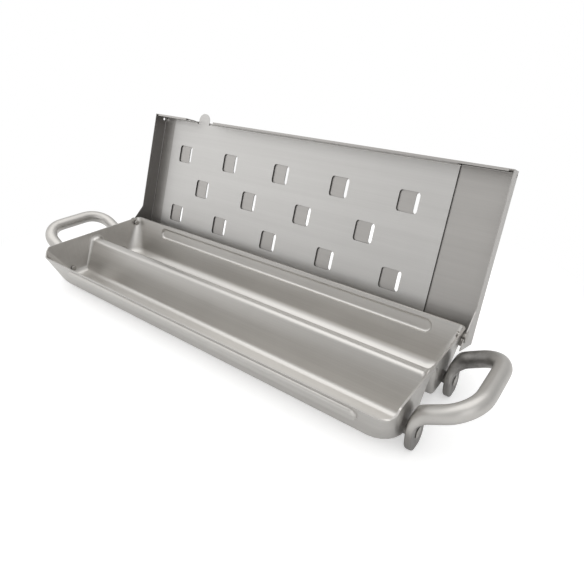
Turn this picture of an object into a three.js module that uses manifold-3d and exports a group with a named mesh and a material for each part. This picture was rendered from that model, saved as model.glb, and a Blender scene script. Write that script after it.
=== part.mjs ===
// Grill smoker box: a stainless tray with two troughs, a forged handle at each end, and a
// hinged lid with a sliding vent plate. The lid stands open, as it does while the box is filled.
// Millimetres, +Z up. X runs along the box, and the front of the box faces -Y.

import * as THREE from 'three';
import { mergeVertices } from 'three/addons/utils/BufferGeometryUtils.js';
import Module from 'manifold-3d';

const wasm = await Module();
wasm.setup();

// Tray: one drawn sheet
const trayLength = 350;
const trayWidth = 109;
const traySheet = 1.2;
const trayFloorHeight = 3;
const endRimHeight = 38.5;
const frontRimDrop = 6;
const frontWallLean = 22;
const backWallLean = 18;
const endWallLean = 4.9;
const longWallFillet = 10;
const endWallFillet = 8;
const frontCornerRadius = 8;
const backCornerRadius = 4.5;
const floorCornerRadius = 17;
const rimChamferRun = 6;
const rimChamferBlend = 3;

// Ridge between the troughs, pressed up from the floor
const ridgeBelowRim = 5.7;
const ridgeCrestHalfWidth = 3.4;
const ridgeSideLean = 23.8;
const ridgeCrestRadius = 3;
const ridgeFootRadius = 6;
const ridgeEndFillet = 4;

// Long bands pressed outward in the front and back walls
const bandHeight = 10.5;
const bandDepth = 2;
const bandBelowRim = 3.2;
const bandLeftMargin = 39;
const bandRightMargin = 23;

// Handles: each is one bar whose ends are forged flat into lugs, which are also the feet
const handleBarRadius = 5.35;
const handleReach = 35.4;
const handleRise = 28;
const handleBendRadius = 17.8;
const handleElbowRadius = 13;
const handleLegSpacing = 62;
const handleRootHeight = 25.4;
const lugSpacing = 57.5;
const lugWidth = 19.4;
const lugThickness = 4.4;
const lugStandOff = 0.4;
const lugEdgeRadius = 1.2;
const footFlat = 0.5;
const bossRadius = 4;

// Rivets
const handleRivetHeight = 11.5;
const handleRivetRadius = 2;
const handleRivetHeadRadius = 3.4;
const handleRivetHeadHeight = 0.4;
const hingeRivetRadius = 1.8;
const hingeShoulderRadius = 2.5;
const hingeHeadRadius = 4.2;
const hingeHeadHeight = 1.3;
const rivetTailRadius = 2.4;
const rivetTailHeight = 1.2;

// Hinge line of the lid
const hingeFromBackRim = 6.5;
const hingeBelowRim = 4.3;
const lidOpenAngle = 108.67;

// Lid: one folded sheet, measured from the hinge line with the lid shut and level
const lidSheet = 0.6;
const lidEndClearance = 1.4;
const lidTopAboveHinge = 23;
const lidFrontOverhang = 11.1;
const lidBackReach = 9;
const lidFlangeDepth = 14.2;
const lidBendRadius = 1.8;
const lidHemWidth = 1.8;
const earRadius = 6;
const earSlopeStart = 17.3;
const earSlope = 37;
const cornerReliefRadius = 1.3;
const cornerReliefInset = 3.4;
const flangeStopGap = 0.3;

// Vent plate: slides along inside the lid
const plateSheet = 0.6;
const plateLeftMargin = 15.8;
const plateRightMargin = 38;
const plateBackReach = 2.5;
const plateFlangeDepth = 11.6;
const plateToFlange = 0.6;
const plateBendRadius = 1.2;
const tabWidth = 14.2;
const tabStandOut = 9;
const tabFromPlateEnd = 40.7;
const tabNotchSlope = 17;

// Vent holes: rounded squares in rows of five, four and five
const ventSide = 16.5;
const ventCornerRadius = 2.6;
const ventRowCounts = [5, 4, 5];
const ventLeftMargin = 22.4;
const ventRightMargin = 32;
const ventFrontMargin = 34.5;
const ventBackMargin = 27.3;
const ventOpenTravel = 13;
const ventShutTravel = 4.5;

// Rail that holds the vent plate's back edge, spot-welded to the lid
const railEndMargin = 11.4;
const railFoot = 3;
const railLip = 4.2;
const railClearance = 0.35;

// Clearances
const seatGap = 0.3;
const rivetClearance = 0.3;
const earClearance = 0.4;
const tabClearance = 1;
const overrun = 5;

// Facets
const cornerSteps = 6;
const filletSteps = 6;
const bendSteps = 4;
const ventCornerSteps = 4;
const barSides = 24;
const footSteps = 7;
const elbowSteps = 7;
const gripBendSteps = 8;
const flareSteps = 5;
const lugSquareness = 5;
const roundSquareness = 2;
const rivetSides = 24;
const roundSteps = 16;
const mergeTolerance = 1e-5;

// Look
const steelColor = 0xb9b6b1;
const handleColor = 0xb4b1ab;
const rivetColor = 0xc2bfba;
const steelRoughness = 0.35;

const radians = THREE.MathUtils.degToRad;
const tan = (degrees) => Math.tan(radians(degrees));
const cos = (degrees) => Math.cos(radians(degrees));
const sin = (degrees) => Math.sin(radians(degrees));

// Solids

function toSolid(geometry) {
  const bare = new THREE.BufferGeometry();
  bare.setAttribute('position', geometry.getAttribute('position').clone());
  bare.setIndex(geometry.getIndex());
  const merged = mergeVertices(bare, mergeTolerance);
  const mesh = new wasm.Mesh({
    numProp: 3,
    vertProperties: new Float32Array(merged.getAttribute('position').array),
    triVerts: new Uint32Array(merged.getIndex().array),
  });
  return new wasm.Manifold(mesh);
}

function toGeometry(solid) {
  const mesh = solid.getMesh();
  const geometry = new THREE.BufferGeometry();
  geometry.setAttribute('position', new THREE.BufferAttribute(new Float32Array(mesh.vertProperties), 3));
  geometry.setIndex(new THREE.BufferAttribute(new Uint32Array(mesh.triVerts), 1));
  geometry.computeVertexNormals();
  return geometry;
}

function joined(solids) {
  return solids.reduce((sum, solid) => sum.add(solid));
}

// Outlines

// Points of an outline whose corners are rounded; a corner is [across, up, radius]
function roundedOutline(corners, steps) {
  const points = [];
  corners.forEach(([x, y, radius = 0], index) => {
    const here = new THREE.Vector2(x, y);
    if (radius === 0) {
      points.push(here);
      return;
    }
    const before = corners[(index + corners.length - 1) % corners.length];
    const after = corners[(index + 1) % corners.length];
    const toBefore = new THREE.Vector2(before[0] - x, before[1] - y).normalize();
    const toAfter = new THREE.Vector2(after[0] - x, after[1] - y).normalize();
    const halfAngle = Math.acos(THREE.MathUtils.clamp(toBefore.dot(toAfter), -1, 1)) / 2;
    const bisector = toBefore.clone().add(toAfter).normalize();
    const centre = here.clone().addScaledVector(bisector, radius / Math.sin(halfAngle));
    const start = here.clone().addScaledVector(toBefore, radius / Math.tan(halfAngle)).sub(centre);
    const end = here.clone().addScaledVector(toAfter, radius / Math.tan(halfAngle)).sub(centre);
    const turn = Math.atan2(start.cross(end), start.dot(end));
    for (let step = 0; step <= steps; step += 1) {
      const point = start.clone().rotateAround(new THREE.Vector2(), (turn * step) / steps);
      points.push(point.add(centre));
    }
  });
  return points;
}

// A closed solid through rings of as many points each, which turn anticlockwise about the way
// that they are stacked
function loftSolid(rings) {
  const count = rings[0].length;
  const positions = [];
  rings.forEach((ring) => ring.forEach((point) => positions.push(point.x, point.y, point.z)));
  const index = [];
  for (let level = 0; level < rings.length - 1; level += 1) {
    for (let point = 0; point < count; point += 1) {
      const next = (point + 1) % count;
      const low = level * count;
      const high = low + count;
      index.push(low + point, low + next, high + next);
      index.push(low + point, high + next, high + point);
    }
  }
  [0, rings.length - 1].forEach((level) => {
    const middle = positions.length / 3;
    const centre = new THREE.Vector3();
    rings[level].forEach((point) => centre.addScaledVector(point, 1 / count));
    positions.push(centre.x, centre.y, centre.z);
    for (let point = 0; point < count; point += 1) {
      const here = level * count + point;
      const next = level * count + ((point + 1) % count);
      index.push(middle, level === 0 ? next : here, level === 0 ? here : next);
    }
  });
  const geometry = new THREE.BufferGeometry();
  geometry.setAttribute('position', new THREE.BufferAttribute(new Float32Array(positions), 3));
  geometry.setIndex(index);
  return toSolid(geometry);
}

// A prism along X from an outline of [y, z] corners
function prismAlongX(corners, from, to, steps = bendSteps) {
  const shape = new THREE.Shape(roundedOutline(corners, steps));
  const geometry = new THREE.ExtrudeGeometry(shape, { depth: to - from, bevelEnabled: false });
  const turn = new THREE.Matrix4().makeBasis(
    new THREE.Vector3(0, 1, 0),
    new THREE.Vector3(0, 0, 1),
    new THREE.Vector3(1, 0, 0),
  );
  geometry.applyMatrix4(turn.setPosition(from, 0, 0));
  return toSolid(geometry);
}

// A prism along Y from an outline of [x, z] corners
function prismAlongY(corners, from, to, steps = bendSteps) {
  const shape = new THREE.Shape(roundedOutline(corners, steps));
  const geometry = new THREE.ExtrudeGeometry(shape, { depth: to - from, bevelEnabled: false });
  const turn = new THREE.Matrix4().makeBasis(
    new THREE.Vector3(1, 0, 0),
    new THREE.Vector3(0, 0, 1),
    new THREE.Vector3(0, -1, 0),
  );
  geometry.applyMatrix4(turn.setPosition(0, to, 0));
  return toSolid(geometry);
}

// A prism along Z from an outline of [x, y] corners
function prismAlongZ(corners, from, to, steps = bendSteps) {
  const shape = new THREE.Shape(roundedOutline(corners, steps));
  const geometry = new THREE.ExtrudeGeometry(shape, { depth: to - from, bevelEnabled: false });
  geometry.translate(0, 0, from);
  return toSolid(geometry);
}

function rectangle(left, low, right, high, radius = 0) {
  return [
    [left, low, radius],
    [right, low, radius],
    [right, high, radius],
    [left, high, radius],
  ];
}

function rodAlongX(radius, from, to, y, z, sides = rivetSides) {
  const geometry = new THREE.CylinderGeometry(radius, radius, to - from, sides);
  geometry.rotateZ(Math.PI / 2);
  geometry.translate((from + to) / 2, y, z);
  return toSolid(geometry);
}

// Tray

const trayHalfLength = trayLength / 2;
const trayHalfWidth = trayWidth / 2;
const frontRimHeight = endRimHeight - frontRimDrop;
const ridgeCrestHeight = endRimHeight - ridgeBelowRim;

const frontWall = {
  rim: trayHalfWidth,
  height: frontRimHeight - trayFloorHeight,
  lean: frontWallLean,
  fillet: longWallFillet,
};
const backWall = {
  rim: trayHalfWidth,
  height: endRimHeight - trayFloorHeight,
  lean: backWallLean,
  fillet: longWallFillet,
};
const endWall = {
  rim: trayHalfLength,
  height: endRimHeight - trayFloorHeight,
  lean: endWallLean,
  fillet: endWallFillet,
};

// How far a wall stands from the tray's middle, at a height above the underside of the floor;
// inset is 0 on the outside of the sheet and the sheet's thickness on its inside
function wallDistance(wall, height, inset) {
  const filletMiddle = wall.rim - (wall.height - wall.fillet) * tan(wall.lean) - wall.fillet / cos(wall.lean);
  const radius = wall.fillet - inset;
  if (height < wall.fillet - radius * sin(wall.lean)) {
    const drop = Math.min(wall.fillet - height, radius);
    return filletMiddle + Math.sqrt(radius ** 2 - drop ** 2);
  }
  return wall.rim - (wall.height - height) * tan(wall.lean) - inset / cos(wall.lean);
}

// Rounded rectangle at one height of the tray
function panRing(height, inset) {
  const end = wallDistance(endWall, height, inset);
  const front = wallDistance(frontWall, height, inset);
  const back = wallDistance(backWall, height, inset);
  const depthShare = 1 - height / endWall.height;
  const frontRadius = THREE.MathUtils.lerp(frontCornerRadius, floorCornerRadius, depthShare) - inset;
  const backRadius = THREE.MathUtils.lerp(backCornerRadius, floorCornerRadius, depthShare) - inset;
  const corners = [
    [-end, -front, frontRadius],
    [end, -front, frontRadius],
    [end, back, backRadius],
    [-end, back, backRadius],
  ];
  return roundedOutline(corners, cornerSteps);
}

// The tray's drawn shape, filled, without the ridge
function panSolid(inset, top) {
  const heights = [inset];
  for (let step = 1; step <= filletSteps; step += 1) {
    const angle = (step / filletSteps) * radians(90 - backWallLean);
    heights.push(longWallFillet - (longWallFillet - inset) * Math.cos(angle));
  }
  heights.push(top);
  return loftSolid(heights.map((height) => (
    panRing(height, inset).map((point) => new THREE.Vector3(point.x, point.y, height + trayFloorHeight))
  )));
}

// Outline in Y and Z of the space under the ridge; inset is 0 under the sheet and its thickness
// above it, and a larger inset makes the flare that blends the ridge into the end walls
function ridgeOutline(inset) {
  const crest = ridgeCrestHeight - traySheet + inset;
  const floor = trayFloorHeight + Math.min(inset, traySheet);
  const grown = inset - traySheet;
  const crestHalf = ridgeCrestHalfWidth + grown * (1 / cos(ridgeSideLean) - tan(ridgeSideLean));
  const footHalf = crestHalf + (crest - floor) * tan(ridgeSideLean);
  const crestRadius = Math.min(ridgeCrestRadius + inset, crestHalf);
  const footRadius = ridgeFootRadius - inset;
  const skirt = footHalf + ridgeFootRadius;
  const corners = [
    [-skirt, floor - overrun],
    [skirt, floor - overrun],
    [skirt, floor],
    [footHalf, floor, footRadius],
    [crestHalf, crest, crestRadius],
    [-crestHalf, crest, crestRadius],
    [-footHalf, floor, footRadius],
    [-skirt, floor],
  ];
  return roundedOutline(corners, cornerSteps);
}

function ridgeSolid(inset) {
  const flare = ridgeEndFillet + traySheet - inset;
  const flareMiddle = wallDistance(endWall, endWall.height / 2, traySheet) - ridgeEndFillet;
  const stations = [[trayHalfLength + overrun, flare]];
  for (let step = flareSteps; step >= 0; step -= 1) {
    const angle = (step / (flareSteps + 1)) * (Math.PI / 2);
    stations.push([flareMiddle + flare * Math.sin(angle), flare * (1 - Math.cos(angle))]);
  }
  stations[0][1] = stations[1][1];
  const rings = stations.map(([x, growth]) => (
    ridgeOutline(inset + growth).map((point) => new THREE.Vector3(x, point.x, point.y))
  ));
  const mirrored = rings.map((ring) => ring.map((point) => new THREE.Vector3(-point.x, point.y, point.z)));
  return loftSolid([...mirrored, ...rings.reverse()]);
}

// A stadium with drafted sides that stands out of a long wall
function bandSolid(wall, side, rimHeight, inset) {
  const length = trayLength - bandLeftMargin - bandRightMargin;
  const half = bandHeight / 2;
  const draft = bandDepth;
  const outline = rectangle(
    -length / 2 + draft,
    -half + draft,
    length / 2 - draft,
    half - draft,
    half - draft - seatGap,
  );
  const shape = new THREE.Shape(roundedOutline(outline, cornerSteps));
  const geometry = new THREE.ExtrudeGeometry(shape, {
    depth: bandDepth,
    bevelThickness: bandDepth,
    bevelSize: draft,
    bevelSegments: bendSteps,
  });
  const middleDrop = bandBelowRim + half * cos(wall.lean);
  const middle = wall.rim - middleDrop * tan(wall.lean);
  const outward = new THREE.Vector3(0, side * cos(wall.lean), -sin(wall.lean));
  const along = new THREE.Vector3(-side, 0, 0);
  const upward = new THREE.Vector3().crossVectors(outward, along);
  const place = new THREE.Matrix4().makeBasis(along, upward, outward);
  const sideways = (bandLeftMargin - bandRightMargin) / 2;
  const centre = new THREE.Vector3(sideways, side * middle, rimHeight - middleDrop);
  centre.addScaledVector(outward, -inset - bandDepth);
  geometry.applyMatrix4(place.setPosition(centre));
  return toSolid(geometry);
}

function traySolid(inset, top) {
  return panSolid(inset, top)
    .add(bandSolid(frontWall, -1, frontRimHeight, inset))
    .add(bandSolid(backWall, 1, endRimHeight, inset))
    .subtract(ridgeSolid(inset));
}

// What is cut away above the lower front rim, with the slopes up to the end walls
function frontRimCut() {
  const outside = -wallDistance(frontWall, endWall.height, 0) - overrun;
  const slopeFoot = -trayHalfWidth + frontCornerRadius * (1 - Math.SQRT1_2);
  const corners = [
    [outside, frontRimHeight],
    [slopeFoot, frontRimHeight, rimChamferBlend],
    [slopeFoot + rimChamferRun, endRimHeight, rimChamferBlend],
    [slopeFoot + rimChamferRun + overrun, endRimHeight],
    [slopeFoot + rimChamferRun + overrun, endRimHeight + overrun],
    [outside, endRimHeight + overrun],
  ];
  const reach = trayHalfLength + overrun;
  return prismAlongX(corners, -reach, reach);
}

const hingeY = trayHalfWidth - hingeFromBackRim;
const hingeZ = endRimHeight - hingeBelowRim;
const lugPlaces = [-lugSpacing / 2, lugSpacing / 2];

function makeTray() {
  const top = endRimHeight - trayFloorHeight;
  let tray = traySolid(0, top).subtract(traySolid(traySheet, top + overrun));
  tray = tray.subtract(frontRimCut());
  [-1, 1].forEach((side) => {
    const outside = side * (trayHalfLength + overrun);
    const inside = side * (trayHalfLength - endWall.height);
    const from = Math.min(outside, inside);
    const to = Math.max(outside, inside);
    tray = tray.subtract(rodAlongX(hingeRivetRadius + rivetClearance, from, to, hingeY, hingeZ));
    lugPlaces.forEach((y) => {
      tray = tray.subtract(rodAlongX(handleRivetRadius + rivetClearance, from, to, y, handleRivetHeight));
    });
  });
  return tray;
}

// Handles

const lugInside = trayHalfLength + lugStandOff;
const lugOutside = lugInside + lugThickness;
const lugMiddle = (lugInside + lugOutside) / 2;

const elbowTurn = 90 - handleRise;
const elbowTangent = handleElbowRadius * tan(elbowTurn / 2);
const slopeOut = new THREE.Vector3(cos(handleRise), 0, sin(handleRise));
const slopeUp = new THREE.Vector3(-sin(handleRise), 0, cos(handleRise));

// Stations from the front lug's foot to the middle of the grip. Each has the centre, the way
// along the bar, the way across its thickness, half its width, half its thickness, and how
// square its section is.
function halfHandleStations() {
  const stations = [];
  const radius = lugWidth / 2;
  const lugY = -lugSpacing / 2;
  const legY = -handleLegSpacing / 2;
  const upward = new THREE.Vector3(0, 0, 1);
  const inward = new THREE.Vector3(-1, 0, 0);
  const halfLug = lugThickness / 2;
  const firstAngle = Math.acos(1 - footFlat / radius);
  for (let step = 0; step <= footSteps; step += 1) {
    const angle = THREE.MathUtils.lerp(firstAngle, Math.PI / 2, step / footSteps);
    const z = radius * (1 - Math.cos(angle)) - footFlat;
    const edgeShare = Math.max(1 - z / lugEdgeRadius, 0);
    const edge = lugEdgeRadius * (1 - Math.sqrt(1 - edgeShare ** 2));
    const centre = new THREE.Vector3(lugMiddle, lugY, z);
    stations.push([centre, upward, inward, radius * Math.sin(angle), halfLug - edge, lugSquareness]);
  }
  const elbowLow = handleRootHeight - elbowTangent;
  for (let step = 0; step <= elbowSteps; step += 1) {
    const share = step / elbowSteps;
    const turn = radians(elbowTurn * share);
    const ease = THREE.MathUtils.smoothstep(share, 0, 1);
    const centre = new THREE.Vector3(
      lugMiddle + handleElbowRadius * (1 - Math.cos(turn)),
      THREE.MathUtils.lerp(lugY, legY, ease),
      elbowLow + handleElbowRadius * Math.sin(turn),
    );
    stations.push([
      centre,
      new THREE.Vector3(Math.sin(turn), 0, Math.cos(turn)),
      new THREE.Vector3(-Math.cos(turn), 0, Math.sin(turn)),
      THREE.MathUtils.lerp(radius, handleBarRadius, ease),
      THREE.MathUtils.lerp(halfLug, handleBarRadius, ease),
      THREE.MathUtils.lerp(lugSquareness, roundSquareness, Math.sqrt(ease)),
    ]);
  }
  const root = new THREE.Vector3(lugMiddle, 0, handleRootHeight);
  const leg = handleReach - handleBendRadius;
  for (let step = 0; step <= gripBendSteps; step += 1) {
    const turn = (step / gripBendSteps) * (Math.PI / 2);
    const centre = root.clone().addScaledVector(slopeOut, leg + handleBendRadius * Math.sin(turn));
    centre.y = legY + handleBendRadius * (1 - Math.cos(turn));
    const along = slopeOut.clone().multiplyScalar(Math.cos(turn));
    along.y = Math.sin(turn);
    stations.push([centre, along, slopeUp, handleBarRadius, handleBarRadius, roundSquareness]);
  }
  return stations;
}

// Section of the bar at a station, between a circle and a rounded rectangle
function barRing([centre, along, thicknessWay, halfWidth, halfThickness, squareness]) {
  const widthWay = new THREE.Vector3().crossVectors(thicknessWay, along);
  const ring = [];
  for (let side = 0; side < barSides; side += 1) {
    const angle = (side / barSides) * Math.PI * 2;
    const power = 2 / squareness;
    const across = Math.sign(Math.cos(angle)) * Math.abs(Math.cos(angle)) ** power;
    const up = Math.sign(Math.sin(angle)) * Math.abs(Math.sin(angle)) ** power;
    ring.push(centre.clone()
      .addScaledVector(widthWay, halfWidth * across)
      .addScaledVector(thicknessWay, halfThickness * up));
  }
  return ring;
}

function barSolid() {
  const half = halfHandleStations();
  const mirrored = half.map(([centre, along, ...rest]) => [
    new THREE.Vector3(centre.x, -centre.y, centre.z),
    new THREE.Vector3(-along.x, along.y, -along.z),
    ...rest,
  ]);
  return loftSolid([...half, ...mirrored.reverse()].map(barRing));
}

// Everything outside the end wall, which a lug's boss is cut back to
function outsideEndWall() {
  const gap = seatGap / cos(endWallLean);
  const corners = [
    [trayHalfLength + gap - endWall.height * tan(endWallLean), trayFloorHeight],
    [trayHalfLength + handleReach + overrun, trayFloorHeight],
    [trayHalfLength + handleReach + overrun, endRimHeight],
    [trayHalfLength + gap, endRimHeight],
  ];
  return prismAlongY(corners, -trayHalfWidth, trayHalfWidth);
}

function handleSolid() {
  const bosses = lugPlaces.map((y) => (
    rodAlongX(bossRadius, lugInside - overrun, lugMiddle, y, handleRivetHeight)
  ));
  const holeRadius = handleRivetRadius + rivetClearance;
  const holes = lugPlaces.map((y) => (
    rodAlongX(holeRadius, lugInside - overrun, lugOutside + overrun, y, handleRivetHeight)
  ));
  return barSolid().add(joined(bosses).intersect(outsideEndWall())).subtract(joined(holes));
}

// Rivets: turned about X, with the head on the outside

function turnedAlongX(profile) {
  const points = profile.map(([radius, x]) => new THREE.Vector2(radius, x));
  const geometry = new THREE.LatheGeometry(points, rivetSides);
  geometry.rotateZ(-Math.PI / 2);
  return geometry;
}

function endWallFace(height, inset) {
  return wallDistance(endWall, height - trayFloorHeight, inset);
}

// Inner end of a rivet, far enough in to clear the leaning wall
function tailSeat(height) {
  return endWallFace(height - rivetTailRadius, traySheet) - seatGap;
}

function handleRivet() {
  const seat = lugOutside + seatGap;
  const tail = tailSeat(handleRivetHeight);
  return turnedAlongX([
    [0, tail - rivetTailHeight],
    [rivetTailRadius / 2, tail - rivetTailHeight],
    [rivetTailRadius, tail - rivetTailHeight / 2],
    [rivetTailRadius, tail],
    [handleRivetRadius, tail],
    [handleRivetRadius, seat],
    [handleRivetHeadRadius, seat],
    [handleRivetHeadRadius, seat + handleRivetHeadHeight / 2],
    [handleRivetHeadRadius - handleRivetHeadHeight, seat + handleRivetHeadHeight],
    [0, seat + handleRivetHeadHeight],
  ]);
}

// How far the rounded back corner leans in over the hinge rivet's tail
function cornerOverhang() {
  const radius = backCornerRadius - traySheet;
  const lowEdge = hingeZ - rivetTailRadius - trayFloorHeight;
  const cornerStart = wallDistance(backWall, lowEdge, traySheet) - radius;
  const over = Math.max(hingeY + rivetTailRadius - cornerStart, 0);
  return radius - Math.sqrt(radius ** 2 - over ** 2);
}

function hingeRivet() {
  const seat = trayHalfLength + lidEndClearance + lidSheet + seatGap;
  const shoulder = endWallFace(hingeZ + hingeShoulderRadius, 0) + seatGap;
  const tail = tailSeat(hingeZ) - cornerOverhang();
  return turnedAlongX([
    [0, tail - rivetTailHeight],
    [rivetTailRadius / 2, tail - rivetTailHeight],
    [rivetTailRadius, tail - rivetTailHeight / 2],
    [rivetTailRadius, tail],
    [hingeRivetRadius, tail],
    [hingeRivetRadius, shoulder],
    [hingeShoulderRadius, shoulder],
    [hingeShoulderRadius, seat],
    [hingeHeadRadius, seat],
    [hingeHeadRadius, seat + hingeHeadHeight / 3],
    [hingeHeadRadius * Math.SQRT1_2, seat + hingeHeadHeight * Math.SQRT1_2],
    [hingeHeadRadius / 3, seat + hingeHeadHeight],
    [0, seat + hingeHeadHeight],
  ]);
}

// Lid: level and shut over the hinge line, front towards -Y, then turned open by its group

const lidLength = trayLength + 2 * (lidEndClearance + lidSheet);
const lidHalfLength = lidLength / 2;
const lidFrontReach = hingeY + trayHalfWidth + lidFrontOverhang;
const lidDepth = lidFrontReach + lidBackReach;
const lidInsideTop = lidTopAboveHinge - lidSheet;
const plateFace = lidInsideTop - railClearance - plateSheet;
const flangeEdge = lidTopAboveHinge - lidFlangeDepth;

// Depth at which the back flange meets the band on the tray's back wall with the lid open
function backFlangeEdge() {
  const across = -cos(lidOpenAngle);
  const rise = sin(lidOpenAngle);
  const edgeBack = lidBackReach - lidSheet;
  const bandSlope = tan(backWallLean);
  const bandFace = (bandDepth + flangeStopGap) / cos(backWallLean);
  const wallGap = hingeY - edgeBack * across - (trayHalfWidth + bandFace)
    + (endRimHeight - hingeZ + edgeBack * rise) * bandSlope;
  return -wallGap / (rise + across * bandSlope);
}

// A box with bent edges along the front, the back and the ends, open below
function lidBlank(inset, bottom) {
  const radius = lidBendRadius - inset;
  const top = lidTopAboveHinge - inset;
  const front = -lidFrontReach + inset;
  const back = lidBackReach - inset;
  const side = lidHalfLength - inset;
  const along = [
    [front, bottom],
    [back, bottom],
    [back, top, radius],
    [front, top, radius],
  ];
  const across = [
    [-side, bottom],
    [side, bottom],
    [side, top, radius],
    [-side, top, radius],
  ];
  const reach = lidHalfLength + overrun;
  return prismAlongX(along, -reach, reach).intersect(prismAlongY(across, -reach, reach));
}

// Side view of an end flange and its ear: what is below this line is cut away
function belowEars(bottom) {
  const slopeTop = flangeEdge;
  const earFront = earSlopeStart - (slopeTop + earRadius * cos(earSlope)) / tan(earSlope);
  const corners = [
    [-lidFrontReach - overrun, bottom - overrun],
    [lidBackReach + overrun, bottom - overrun],
    [lidBackReach + overrun, -earRadius],
    [-earFront + earRadius, -earRadius, earRadius],
    [-earSlopeStart, slopeTop, earRadius],
    [-lidFrontReach - overrun, slopeTop],
  ];
  const reach = lidHalfLength + overrun;
  return prismAlongX(corners, -reach, reach, cornerSteps);
}

// Between the ears the front and back flanges are shallower
function belowFlanges(bottom) {
  const side = lidHalfLength - lidSheet;
  const backEdge = backFlangeEdge();
  const corners = [
    [-lidFrontReach - overrun, bottom - overrun],
    [lidBackReach + overrun, bottom - overrun],
    [lidBackReach + overrun, backEdge],
    [0, backEdge],
    [0, flangeEdge],
    [-lidFrontReach - overrun, flangeEdge],
  ];
  return prismAlongX(corners, -side, side);
}

const plateLeftEnd = -lidHalfLength + lidSheet + plateLeftMargin;
const plateRightEnd = lidHalfLength - lidSheet - plateRightMargin;

// Centres of the vent holes as seen from above, moved sideways by shift
function ventCentres(shift) {
  const first = plateLeftEnd + ventLeftMargin;
  const last = plateRightEnd - ventRightMargin;
  const middle = (first + last) / 2 + shift;
  const pitch = (last - first) / (Math.max(...ventRowCounts) - 1);
  const rowPitch = (lidDepth - ventFrontMargin - ventBackMargin) / (ventRowCounts.length - 1);
  const centres = [];
  ventRowCounts.forEach((count, row) => {
    const y = -lidFrontReach + ventFrontMargin + row * rowPitch;
    for (let hole = 0; hole < count; hole += 1) {
      centres.push([middle + (hole - (count - 1) / 2) * pitch, y]);
    }
  });
  return centres;
}

function ventHoles(shift) {
  const half = ventSide / 2;
  const holes = ventCentres(shift).map(([x, y]) => prismAlongZ(
    rectangle(x - half, y - half, x + half, y + half, ventCornerRadius),
    plateFace - overrun,
    lidTopAboveHinge + overrun,
    ventCornerSteps,
  ));
  return joined(holes);
}

const tabMiddle = plateLeftEnd + tabFromPlateEnd;

// Gap in the front flange that the tab slides along
function tabSlot() {
  const left = tabMiddle - tabWidth / 2 - ventShutTravel - tabClearance;
  const right = tabMiddle + tabWidth / 2 + ventOpenTravel + tabClearance;
  const corners = [
    [left, flangeEdge - overrun],
    [right + ventShutTravel, flangeEdge - overrun],
    [right, plateFace],
    [right, plateFace + plateSheet + railClearance / 2],
    [left, plateFace + plateSheet + railClearance / 2],
  ];
  return prismAlongY(corners, -lidFrontReach - overrun, -lidFrontReach + overrun);
}

function makeLid() {
  const bottom = -earRadius - overrun;
  let lid = lidBlank(0, bottom).subtract(lidBlank(lidSheet, bottom - overrun));
  lid = lid.subtract(belowEars(bottom)).subtract(belowFlanges(bottom));
  const hem = prismAlongX(
    rectangle(-lidFrontReach + lidSheet / 2, flangeEdge, -lidFrontReach + lidHemWidth, flangeEdge + lidSheet),
    -lidHalfLength + lidBendRadius + lidHemWidth,
    lidHalfLength - lidBendRadius - lidHemWidth,
  );
  lid = lid.add(hem).subtract(tabSlot());
  lid = lid.subtract(ventHoles(ventOpenTravel));
  [-1, 1].forEach((side) => {
    const from = side * lidHalfLength - overrun;
    const to = side * lidHalfLength + overrun;
    const reliefY = -lidFrontReach + cornerReliefInset;
    const reliefZ = lidTopAboveHinge - cornerReliefInset;
    lid = lid.subtract(rodAlongX(cornerReliefRadius, from, to, reliefY, reliefZ, roundSteps));
    lid = lid.subtract(rodAlongX(hingeShoulderRadius + earClearance, from, to, 0, 0));
  });
  return lid;
}

// Vent plate, in the lid's own place

function makeVentPlate() {
  const top = plateFace + plateSheet;
  const front = -(lidFrontReach - lidSheet - plateToFlange);
  const low = top - plateFlangeDepth;
  const section = [
    [plateBackReach, plateFace],
    [plateBackReach, top],
    [front, top, plateBendRadius],
    [front, low],
    [front + plateSheet, low],
    [front + plateSheet, plateFace, plateBendRadius - plateSheet],
  ];
  const folded = prismAlongX(section.reverse(), plateLeftEnd, plateRightEnd);
  const tabHalf = tabWidth / 2;
  const notch = prismAlongY([
    [tabMiddle - tabHalf - tabClearance, low - overrun],
    [tabMiddle + tabHalf + tabNotchSlope, low - overrun],
    [tabMiddle + tabHalf + tabNotchSlope, low],
    [tabMiddle + tabHalf + tabClearance, plateFace],
    [tabMiddle + tabHalf + tabClearance, top + overrun],
    [tabMiddle - tabHalf - tabClearance, top + overrun],
  ], front - overrun, front + plateBendRadius + seatGap);
  const tab = prismAlongZ([
    [tabMiddle - tabHalf, front + overrun],
    [tabMiddle - tabHalf, front - tabStandOut, tabHalf - seatGap],
    [tabMiddle + tabHalf, front - tabStandOut, tabHalf - seatGap],
    [tabMiddle + tabHalf, front + overrun],
  ], plateFace, top, roundSteps / 2);
  return folded.subtract(notch).add(tab).subtract(ventHoles(0));
}

// Rail over the vent plate's back edge
function makeRail() {
  const foot = lidInsideTop - seatGap;
  const step = plateBackReach + tabClearance;
  const lip = plateFace - railClearance;
  const section = [
    [step + railFoot, foot],
    [step, foot, plateSheet],
    [step, lip, seatGap],
    [step - railLip, lip],
    [step - railLip, lip - plateSheet],
    [step + plateSheet, lip - plateSheet, plateSheet + seatGap],
    [step + plateSheet, foot - plateSheet],
    [step + railFoot, foot - plateSheet],
  ];
  const reach = lidHalfLength - lidSheet - railEndMargin;
  return prismAlongX(section, -reach, reach);
}

// Assembly

function piece(name, geometry, color = steelColor) {
  const material = new THREE.MeshStandardMaterial({ color, roughness: steelRoughness, metalness: 1 });
  const mesh = new THREE.Mesh(geometry, material);
  mesh.name = name;
  return mesh;
}

const smokerBox = new THREE.Group();
smokerBox.add(piece('tray', toGeometry(makeTray())));

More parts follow.
